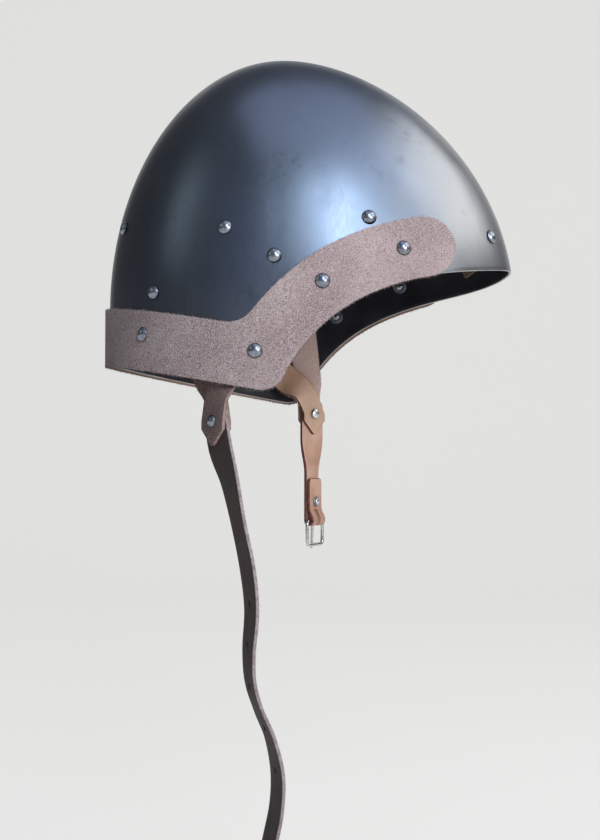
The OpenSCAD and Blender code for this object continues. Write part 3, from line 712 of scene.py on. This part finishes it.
# a strap from its rows, each a middle and a half-width vector
def strapFrom(rows, name, body, nodes, materials, thickness, columns=7, bevel=0.4, outer=None):
    bm = gridOf(len(rows), columns, lambda i, j: rows[i][0] + rows[i][1] * (2 * j / (columns - 1) - 1))
    bm.faces.ensure_lookup_table()
    face = bm.faces[0]
    if outer and face.normal.dot(outer) < 0:
        bmesh.ops.reverse_faces(bm, faces=bm.faces)
    piece = finish(bm, name, None, nodes, materials)
    thicken(piece, thickness, 0, bevel)
    if body:
        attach(piece, body)
    return piece


# liner: four straps that leave the wall above their rivets and cross under the crown
liner = {"pitch": linerT + layerGap, "power": 3.2, "crossing": (10, 0), "tab": 12.5, "lean": 0.66, "flat": -0.72,
         "edgePull": 0.5, "steps": 60, "bevel": 0.3,
         "tabStops": (1, 0.94, 0.85, 0.75, 0.62, 0.5, 0.35, 0.2, 0, -0.2, -0.4)}
linerIn = -skull["steel"] - wallGap - linerT / 2


def linerQ(x, y, z):
    p = plan(x)
    b = (skull["halfWidth"] + linerIn) * shrink(z, linerIn, skull["sideRise"])
    return ((abs(x) / reach(x, z, linerIn)) ** p + (abs(y) / b) ** p) ** (1 / p)


def tabPoint(place, side, f):
    lean = liner["lean"] * liner["tab"] * max(0, f) if place[0] > skull["templeX"] else 0
    return besideWall((place[0] - lean, place[1] + liner["tab"] * f), side, linerIn)


def makeLinerStrap(number, front, rear, side, layer):
    up = Vector((0, 0, 1))
    top = linerT / 2 + layer * liner["pitch"]
    a, b = tabPoint(front, side, liner["flat"]), tabPoint(rear, -side, liner["flat"])
    wa = up.cross(offWall(front, side)).normalized()
    wb = -up.cross(offWall(rear, -side)).normalized()
    along = Vector((b.x - a.x, b.y - a.y, 0)).normalized()
    sideWay = along.cross(up)
    rows = []

    def tabRow(place, s, f, w):  # its edges follow a share of the way that the wall curves inwards
        half = mix(0.6, linerW / 2, (1 - f) / 0.5) if f > 0.5 else linerW / 2
        c = tabPoint(place, s, f)
        ends = []
        for e in (c - w * half, c + w * half):
            out = linerQ(e.x, e.y, e.z) / linerQ(c.x, c.y, c.z)
            part = 1 + (out - 1) * liner["edgePull"] if out > 1 else 1
            ends.append(Vector((e.x / part, e.y / part, e.z)))
        return c, (ends[1] - ends[0]) / 2

    stops = (*liner["tabStops"], liner["flat"])
    for f in stops:
        rows.append(tabRow(front, side, f, wa))
    for i in range(1, liner["steps"]):
        f = mix(i / liner["steps"], smooth(i / liner["steps"]), 0.6)
        c = a.lerp(b, f)  # in its first and last fifth the strap turns out of the wall's direction
        w = (sideWay + wa * max(0, 1 - 5 * f) ** 2 * 3 + wb * max(0, 5 * f - 4) ** 2 * 3).normalized() * linerW / 2
        ends = []
        for s in (-1, 0, 1):
            x, y = c.x + w.x * s, c.y + w.y * s
            ends.append(Vector((x, y, mix(top, c.z, min(linerQ(x, y, c.z), 1.02) ** liner["power"]))))
        rows.append((ends[1], (ends[2] - ends[0]) / 2))
    for f in reversed(stops):
        rows.append(tabRow(rear, -side, f, wb))
    strapFrom(rows, f"linerStrap{number}", "shell", [f"liner_strap_{number}"], [linerFace] * 3,
              linerT, bevel=liner["bevel"])


for number, (front, rear, side) in enumerate(((0, 3, right), (0, 3, left), (1, 2, right), (1, 2, left))):
    makeLinerStrap(number + 1, linerPlaces[front], linerPlaces[rear], side, number)
crownGrip = 3 * liner["pitch"] + linerT + rivets["roveT"] + 2 * rivets["gap"]
crownSeat = [Matrix.Translation(Vector((*liner["crossing"], -rivets["gap"])) * mm) @ Matrix.Rotation(pi, 4, "X")
             @ Matrix.Scale(mm, 4)]
makeRivets("crownRivet", "crown_rivet", "shell", crownSeat, rivets["headD"], rivets["lowH"], crownGrip)
makeRoves("crownRove", "crown_washer", "shell", crownSeat, rivets["roveD"], -crownGrip + rivets["gap"])
print("liner made")

# harness: two legs a side, which meet at a joint rivet and bend with it
harness = {"rightJoint": (-34, 247), "leftJoint": (13, 236), "rightTurn": 25, "leftTurn": 45, "bend": 26,
           "twist": 15, "tab": 12, "sweep": 0.8, "fall": 0.61, "slant": 0.15, "leaveUp": 7.5, "point": 15,
           "pointW": 2, "settle": 0.55, "steps": 56, "look": 0.02, "blendUp": 12}
pitch = strapT + layerGap
legIn = -skull["steel"] - wallGap - strapT / 2


def jointOut(joint, side, turn):
    n = offWall((joint[0], skull["cheekDrop"]), side)
    return turned(Vector((n.x, n.y, 0)), side * turn).normalized()


def jointAt(joint, side, turn):
    return onWall(joint, side, legIn) - jointOut(joint, side, turn) * pitch


def makeLeg(name, node, place, joint, side, layer, turn, materials):
    p0, p3 = Vector(place), Vector(joint)
    flat = jointOut(joint, side, turn)
    leaveDrop = min(p3[1] - harness["bend"], skull["cheekDrop"] - harness["leaveUp"])  # where it comes off the wall

    def spotAt(f):
        if f < 0:
            return p0 + (p0 - p3).normalized() * -f
        early = Vector((mix(p0[0], p3[0], harness["sweep"]), mix(p0[1], skull["cheekDrop"], harness["fall"])))
        return bezier(p0, early, Vector((mix(p3[0], p0[0], harness["slant"]), leaveDrop)), p3, f)

    def hangAt(spot):
        return smooth((spot[1] - leaveDrop) / harness["twist"])

    def outAt(spot):
        return offWall(spot, side).lerp(flat, hangAt(spot)).normalized()

    def middleAt(f):
        spot = spotAt(f)
        leave = smooth((spot[1] - leaveDrop + harness["bend"]) / harness["bend"])
        drift = turned(flat, -90 * side) * (spot[0] - p3[0])
        hung = onWall(joint, side, legIn) + Vector((drift.x, drift.y, p3[1] - spot[1]))
        return besideWall(spot, side, legIn).lerp(hung, hangAt(spot)) + outAt(spot) * (layer - 1) * pitch * leave

    rows = []
    tab = harness["tab"]
    for f, cut in ((-tab, 2), (-tab + 0.7, 0.7), (-tab + 2, 0), (-tab / 2, 0)):  # a round upper end
        n, d = outAt(spotAt(f)), (middleAt(f + 0.5) - middleAt(f)).normalized()
        rows.append((middleAt(f), n.cross(d).normalized() * (strapW / 2 - cut)))
    steps, look = harness["steps"], harness["look"]
    w = flat.cross(Vector((0, 0, -1)))
    for i in range(steps):
        f = i / steps
        n, d = outAt(spotAt(f)), (middleAt(min(1, f + look)) - middleAt(min(1 - look, f))).normalized()
        settled = smooth((f - harness["settle"]) / (1 - harness["settle"]))  # its rows turn level before the joint
        rows.append((middleAt(f), n.cross(d).normalized().lerp(w, settled).normalized() * strapW / 2))
    base = jointAt(joint, side, turn) + flat * layer * pitch
    start = harness["point"] - strapW / 2
    for down in (0, start / 2, start):
        rows.append((base - Vector((0, 0, down)), w * strapW / 2))
    for k in range(1, 9):
        rows.append((base - Vector((0, 0, mix(start, harness["point"], k / 8))),
                     w * mix(strapW, harness["pointW"], k / 8) / 2))
    piece = strapFrom(rows, name, None, [node], materials, strapT, outer=offWall(place, side))
    roots = []
    for _ in range(fuzz["onLeg"]):
        i, edge = chance.randrange(steps), chance.choice((-1, 1))
        a, half = rows[i]
        b = rows[i + 1][0]
        along = (b - a).normalized()
        root = a.lerp(b, chance.random()) + half * edge
        roots.append((root, half.normalized() * edge, along, half.cross(along).normalized()))
    addFuzz(piece, roots)
    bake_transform(piece)


sides = (("right", right, harness["rightJoint"], harness["rightTurn"]),
         ("left", left, harness["leftJoint"], harness["leftTurn"]))
for word, side, joint, turn in sides:
    # the right legs wear suede darkened with painted shade
    frontFaces, rearFaces = ([shadedNearSuede, legGrain, legEdge],) * 2 if side == right else \
        ([legGrain, farSuede, legEdge], [farSuede, tipGrain, tanEdge])
    makeLeg(word + "FrontLeg", word + "_front_leg", legPlaces[0], joint, side, 1, turn, frontFaces)
    makeLeg(word + "RearLeg", word + "_rear_leg", legPlaces[1], joint, side, -1, turn, rearFaces)
    jointSeat = pitch + strapT / 2 + rivets["gap"]
    jointGrip = 2 * jointSeat + rivets["roveT"]
    n = jointOut(joint, side, turn)
    seats = [seat(jointAt(joint, side, turn) + n * jointSeat, n)]
    # the left joint rivet's brighter steel is a painted highlight
    makeRivets(word + "JointRivet", word + "_joint_rivet", word + "_harness", seats, rivets["jointD"],
               rivets["jointH"], jointGrip, rivets["jointTailD"], rivetFace if side == right else glintJointFace)
    makeRoves(word + "JointRove", word + "_joint_washer", word + "_harness", seats, rivets["jointD"], -jointGrip)
print("harness made")

# chin strap: its route is depth below the rivet, forward drift and turn
chin = {"length": 290, "hole": 3.5, "holes": 5, "firstHole": 110, "holePitch": 25, "lean": 3.5, "tip": 13,
        "tipHalf": 1.2, "tipCurve": 1.3, "tipDrift": -2, "topCorner": 3, "punch": 12}
chinRoute = [(-9, 0, 0), (0, 0, 0), (18, 3.5, 0), (37, 9, 12), (62, 14.5, 19), (88, 20, 18), (112, 22.5, 20),
             (136, 21, 23), (154, 22, 26), (170, 27, 29), (186, 34, 27), (206, 38.5, 22), (226, 38, 22),
             (246, 34, 22), (268, 29, 22)]


def chinStop(i):
    return Vector(chinRoute[max(0, min(len(chinRoute) - 1, i))])


def chinBetween(i, f):
    a, b, c, d = (chinStop(i + k) for k in (-1, 0, 1, 2))
    return (b * 2 + (c - a) * f + (a * 2 - b * 5 + c * 4 - d) * f * f + (b * 3 - a - c * 3 + d) * f ** 3) / 2


chinScale = (chin["length"] - chin["tip"]) / chinRoute[-1][0]
chinTurn = harness["rightTurn"]
chinTop = jointAt(harness["rightJoint"], right, chinTurn)
chinWay = turned(jointOut(harness["rightJoint"], right, chinTurn), 90)


def chinDepth(r):
    return chinRoute[3][0] + (r[0] - chinRoute[3][0]) * chinScale if r[0] > chinRoute[3][0] else r[0]


def chinPoint(r):
    return chinTop + Vector((r[1], chinWay.y / chinWay.x * min(r[1], chin["lean"]), -chinDepth(r)))


def chinOut(r):
    return jointOut(harness["rightJoint"], right, chinTurn + r[2])


def chinRow(r, ahead, half):
    d = (chinPoint(ahead) - chinPoint(r)).normalized()
    return chinPoint(r), chinOut(r).cross(d).normalized() * half


def cutAway(piece, bm):
    mesh = meshFrom(bm, "cutter")
    cutter = addObject("cutter", mesh)
    cut = piece.modifiers.new("holes", "BOOLEAN")
    cut.object = cutter
    cut.operation = "DIFFERENCE"
    cut.solver = "EXACT"
    applyModifiers(piece)
    bpy.data.objects.remove(cutter)
    bpy.data.meshes.remove(mesh)


def makeChinStrap():
    rows = [chinRow(chinStop(0), chinStop(1), strapW / 2 - chin["topCorner"])]
    for f, cut in ((0.12, 1.2), (0.3, 0), (0.6, 0)):
        rows.append(chinRow(chinStop(0).lerp(chinStop(1), f), chinStop(1), strapW / 2 - cut))
    last = len(chinRoute) - 2
    for i in range(1, last + 1):
        for k in range(8):
            rows.append(chinRow(chinBetween(i, k / 8), chinBetween(i, k / 8 + 0.1), strapW / 2))
    bottom = chinStop(last + 1)
    past = bottom + Vector((chin["tip"] / chinScale, chin["tipDrift"], 0))
    rows.append(chinRow(bottom, past, strapW / 2))
    for k in range(1, 9):
        half = mix(strapW / 2, chin["tipHalf"], (k / 8) ** chin["tipCurve"])
        rows.append(chinRow(bottom.lerp(past, k / 8), past + past - bottom, half))
    piece = strapFrom(rows, "chinStrap", None, ["chin_strap"], [shadedChinFace, shadedNearSuede, chinEdge],
                      strapT, outer=jointOut(harness["rightJoint"], right, chinTurn))
    bm = bmesh.new()
    for k in range(chin["holes"]):
        wanted = chin["firstHole"] + k * chin["holePitch"]
        r = next(chinBetween(i, f / 100) for i in range(1, last + 1) for f in range(100)
                 if chinDepth(chinBetween(i, f / 100)) >= wanted)
        bmesh.ops.create_cone(bm, cap_ends=True, segments=20, radius1=chin["hole"] / 2 * mm,
                              radius2=chin["hole"] / 2 * mm, depth=chin["punch"] * mm,
                              matrix=Matrix.Translation(chinPoint(r) * mm) @ turnTo(chinOut(r)))
    cutAway(piece, bm)
    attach(piece, "right_strap")


makeChinStrap()
print("chin strap made")

# buckle strap and buckle, in the bar's own frame: X out of the strap, Y along the bar
buckle = {"length": 79, "wire": 2.6, "window": 15.4, "tongue": 2.2, "turn": 24, "turnStart": 18, "turnLength": 26,
          "foldGap": 0.5, "foldBack": 31, "foldRivet": 14, "foldEase": 9.5, "slotUp": 8, "slotDown": 5,
          "slotDeep": 20, "tongueGap": 1, "eyeT": 1.1, "eyeW": 3, "bend": 3, "endCut": 3, "cornerCut": 0.9}
wireR = buckle["wire"] / 2
foldR = wireR + buckle["foldGap"] + strapT / 2
leftJoint = harness["leftJoint"]


def buckleOut(f):
    return jointOut(leftJoint, left, harness["leftTurn"] + buckle["turn"] * smooth(f))


def outAtDepth(depth):
    return buckleOut((depth - buckle["turnStart"]) / buckle["turnLength"])


def foldPoint(depth, inward):
    top = jointAt(leftJoint, left, harness["leftTurn"])
    return top - Vector((0, 0, depth)) - outAtDepth(depth) * inward


barOut = buckleOut(1)
barPlace = jointAt(leftJoint, left, harness["leftTurn"]) - Vector((0, 0, buckle["length"])) - barOut * foldR
barTurn = Matrix.Rotation(atan2(barOut.y, barOut.x), 4, "Z")
barFrame = Matrix.Translation(barPlace * mm) @ barTurn @ Matrix.Scale(mm, 4)


def makeBuckleStrap():
    length = buckle["length"]
    line = [(-9, 0), (-8.2, 0), (-6, 0), (-3, 0)] + [(d, 0) for d in range(0, 77, 3)]
    line += [(length + foldR * sin(radians(a)), foldR - foldR * cos(radians(a))) for a in range(0, 181, 15)]
    for f in (0.2, 0.35, 0.5, 0.65, 0.8, 1):
        line.append((length - buckle["foldEase"] * f, mix(2 * foldR, pitch, smooth(f))))
    back = buckle["foldBack"]
    line += [(length - d, pitch) for d in (12, 15, 18, 22, 26, 28, back - 0.8, back)]
    rows = []
    for i, (depth, inward) in enumerate(line):
        half = strapW / 2
        if i in (0, len(line) - 1):
            half -= buckle["endCut"]
        elif i in (1, len(line) - 2):
            half -= buckle["cornerCut"]
        w = outAtDepth(depth).cross(Vector((0, 0, -1)))
        rows.append((foldPoint(depth, inward), w * half))
    piece = strapFrom(rows, "buckleStrap", None, ["buckle_strap"], [tanGrain, tanGrain, tanEdge],
                      strapT, columns=9, outer=jointOut(leftJoint, left, harness["leftTurn"]))
    bm = bmesh.new()
    up, down = buckle["slotUp"], foldR + buckle["slotDown"]
    size = Matrix.Diagonal((buckle["slotDeep"], buckle["eyeW"] + 2 * buckle["tongueGap"], up + down, 1))
    bmesh.ops.create_cube(bm, size=1, matrix=barFrame @ Matrix.Translation((0, 0, (up - down) / 2)) @ size)
    cutAway(piece, bm)
    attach(piece, "left_strap")


def only(kind, geom):
    return [g for g in geom if isinstance(g, kind)]


def makeFrame():
    half, length, bend = strapW / 2 + 1.2 + wireR, buckle["window"] + buckle["wire"], buckle["bend"]
    bm = bmesh.new()
    made = bmesh.ops.create_circle(bm, cap_ends=False, segments=18, radius=wireR,
                                   matrix=Matrix.Rotation(pi / 2, 4, "X"))
    ring = list({e for v in made["verts"] for e in v.link_edges})

    def straight(ring, vector):
        out = bmesh.ops.extrude_edge_only(bm, edges=ring)["geom"]
        bmesh.ops.translate(bm, verts=only(bmesh.types.BMVert, out), vec=vector)
        return [g for g in only(bmesh.types.BMEdge, out) if all(v in out for v in g.verts) and len(g.link_faces) == 1]

    def corner(ring, centre):
        out = bmesh.ops.spin(bm, geom=ring, cent=centre, axis=(1, 0, 0), angle=-pi / 2, steps=8)
        return only(bmesh.types.BMEdge, out["geom_last"])

    reachY = half - bend
    drop = length - 2 * bend
    for way, y, z in (((0, reachY, 0), reachY, -bend), ((0, 0, -drop), reachY, bend - length),
                      ((0, -2 * reachY, 0), -reachY, bend - length), ((0, 0, drop), -reachY, -bend)):
        ring = corner(straight(ring, way), (0, y, z))
    straight(ring, (0, reachY, 0))
    bmesh.ops.remove_doubles(bm, verts=bm.verts, dist=0.01)
    bmesh.ops.recalc_face_normals(bm, faces=bm.faces)
    bm.transform(barFrame)
    markAll(finish(bm, "buckleFrame", "buckle", ["buckle_frame"], [wireFace]), 0.8)


def makeTongue():
    r, eyeIn = buckle["tongue"] / 2, wireR + rivets["holeGap"]
    outR, half = eyeIn + buckle["eyeT"], buckle["eyeW"] / 2
    profile = [(eyeIn, -half + 0.2), (eyeIn + 0.2, -half), (outR - 0.3, -half), (outR, -half + 0.35),
               (outR, half - 0.35), (outR - 0.3, half), (eyeIn + 0.2, half), (eyeIn, half - 0.2),
               (eyeIn, -half + 0.2)]
    bm = bmesh.new()
    addCopies(bm, spinProfile(profile, 32), [Matrix.Rotation(pi / 2, 4, "X")])
    nearX = eyeIn + buckle["eyeT"] / 2
    farX = wireR + r + 0.15
    length = buckle["window"] + buckle["wire"]
    lean = atan2(farX - nearX, length)
    arm = [(r * 0.96, 0), (r, 3), (r, length - 3), (r * 0.92, length + wireR), (r * 0.75, length + wireR + 0.9),
           (r * 0.4, length + wireR + 1.6), (0, length + wireR + 1.9)]
    addCopies(bm, spinProfile(arm, 20), [Matrix.Translation((nearX, 0, 0)) @ Matrix.Rotation(pi - lean, 4, "Y")])
    bm.transform(barFrame)
    markAll(finish(bm, "buckleTongue", "tongue", ["buckle_tongue"], [wireFace]), 0.8)


makeBuckleStrap()
foldGrip = pitch + strapT + 2 * rivets["gap"] + rivets["roveT"]
foldSeat = [barFrame @ Matrix.Translation((foldR + strapT / 2 + rivets["gap"], 0, buckle["foldRivet"]))
            @ Matrix.Rotation(pi / 2, 4, "Y")]
makeRivets("foldRivet", "buckle_strap_rivet", "left_strap", foldSeat, rivets["jointD"], rivets["lowH"], foldGrip,
           face=glintJointFace)
makeRoves("foldRove", "buckle_strap_washer", "left_strap", foldSeat, rivets["jointD"], -foldGrip)
makeFrame()
makeTongue()
print("buckle made")

# the camera's place and clipping in metres, its lens and sensor in millimetres, and in pixels the picture's centre,
# the point where lines along Y meet and the focal length
view = {"place": (0.0761, -0.926, -0.2427), "clip": (0.05, 30), "lens": 58.93, "sensor": 36, "centre": (300, 420),
        "vanishY": (394, 461.9), "focal": 1375}


def makeCamera():
    data = bpy.data.cameras.new("camera")
    data.lens = view["lens"]
    data.sensor_width = view["sensor"]
    data.clip_start, data.clip_end = view["clip"]
    camera = addObject("camera", data)
    across, down = (view["vanishY"][k] - view["centre"][k] for k in (0, 1))
    a = Vector((across, down, view["focal"])).normalized()
    u = Vector((0, -1, 0))
    u = (u - a * u.dot(a)).normalized()
    x = a.cross(u)
    rows = [Vector((x[k], a[k], u[k])) for k in range(3)]
    turn = Matrix((rows[0], -rows[1], -rows[2])).transposed()
    camera.matrix_world = Matrix.Translation(view["place"]) @ turn.to_4x4()
    bpy.context.scene.camera = camera


# metres: a floor, and a curved sheet behind the part that stands far enough off to be walked round
studio = {"floorZ": -0.517, "floorSize": 12, "sheetHalf": 1.6, "backY": 2.6, "sweep": 0.6, "tall": 2.2, "lift": 0.75,
          "under": 0.0005, "pale": (0.92, 0.915, 0.9), "room": (0.8, 0.84, 0.9), "roomLight": 0.16}


def makeFloor():
    bm = bmesh.new()
    bmesh.ops.create_grid(bm, x_segments=1, y_segments=1, size=studio["floorSize"] / 2,
                          matrix=Matrix.Translation((0, 0, studio["floorZ"])))
    flat, foot = studio["backY"] - studio["sweep"], studio["floorZ"] - studio["under"]  # its foot is under the floor
    start = [bm.verts.new((side * studio["sheetHalf"], flat, foot)) for side in (-1, 1)]
    edge = [bm.edges.new(start)]
    centre = (0, flat, foot + studio["sweep"])
    out = bmesh.ops.spin(bm, geom=edge, cent=centre, axis=(1, 0, 0), angle=pi / 2, steps=24)["geom_last"]
    out = bmesh.ops.extrude_edge_only(bm, edges=only(bmesh.types.BMEdge, out))["geom"]
    bmesh.ops.translate(bm, verts=only(bmesh.types.BMVert, out), vec=(0, 0, studio["tall"]))
    bmesh.ops.recalc_face_normals(bm, faces=bm.faces)
    for face in bm.faces:
        face.smooth = True
    floor = addObject("floor", meshFrom(bm, "floor"))
    f = Finish("paleFloor", (0.78, 0.765, 0.74), roughness=0.9)
    f.put("Specular IOR Level", 0.2)
    f.colour(f.ramp(f.noise(3, 2), [(0.3, (0.76, 0.745, 0.72)), (0.7, (0.8, 0.785, 0.76))]))
    path = f.nodes.new("ShaderNodeLightPath")  # part of its brightness is seen without lighting the part
    seen = f.maths("ADD", path.outputs["Is Camera Ray"], path.outputs["Is Glossy Ray"])
    seen = f.maths("ADD", seen, path.outputs["Is Transmission Ray"], clamp=True)
    glow = f.nodes.new("ShaderNodeEmission")
    glow.inputs["Color"].default_value = (*studio["pale"], 1)
    both = f.nodes.new("ShaderNodeMixShader")
    f.links.new(f.times(seen, studio["lift"]), both.inputs[0])
    f.links.new(f.shader.outputs[0], both.inputs[1])
    f.links.new(glow.outputs[0], both.inputs[2])
    f.links.new(both.outputs[0], f.nodes["Material Output"].inputs["Surface"])
    floor.data.materials.append(f.material)


def makeLamp(name, place, target, size, power, colour):
    data = bpy.data.lights.new(name, "AREA")
    data.shape = "RECTANGLE"
    data.size, data.size_y = size
    data.energy = power
    data.color = colour
    lamp = addObject(name, data)
    lamp.location = place
    lamp.rotation_euler = (Vector(target) - Vector(place)).to_track_quat("-Z", "Y").to_euler()


def makeRoom():
    world = bpy.data.worlds.new("room")
    world.use_nodes = True
    sky = world.node_tree.nodes["Background"]
    sky.inputs["Color"].default_value = (*studio["room"], 1)
    sky.inputs["Strength"].default_value = studio["roomLight"]
    bpy.context.scene.world = world


# each lamp's place and the point it faces, its size in metres, its watts and its colour
lamps = {
    "window": ((0.37, -1.1, 0.55), (0, 0, -0.05), (0.36, 0.75), 6.2, (0.74, 0.88, 1.0)),
    "side": ((1.1, 0.05, 0.85), (0, 0, -0.05), (1.3, 1.1), 8.5, (1.0, 0.99, 0.97)),
    "fill": ((0.85, -0.85, 0.75), (0, 0, -0.05), (0.9, 1.2), 3.5, (0.76, 0.86, 1.0)),
    "low": ((0.95, -1.1, 0.05), (0, 0, -0.15), (0.6, 0.4), 9, (0.97, 0.97, 1.0)),
    "left": ((-1.16, -0.44, 0.6), (0, 0, -0.05), (0.3, 0.7), 0.8, (0.85, 1.0, 1.0)),
    "top": ((0.1, -0.3, 1.5), (0, 0, 0), (1.4, 1.3), 4.2, (0.7, 0.79, 1.0)),
    "front": ((-0.5, -1.3, 0.4), (0, 0, -0.05), (1.0, 1.2), 0.7, (0.5, 0.65, 1.0)),
}
makeCamera()
makeFloor()
for name, lamp in lamps.items():
    makeLamp(name, *lamp)
makeRoom()
bpy.context.scene.view_settings.view_transform = "Standard"
print("camera and light made")
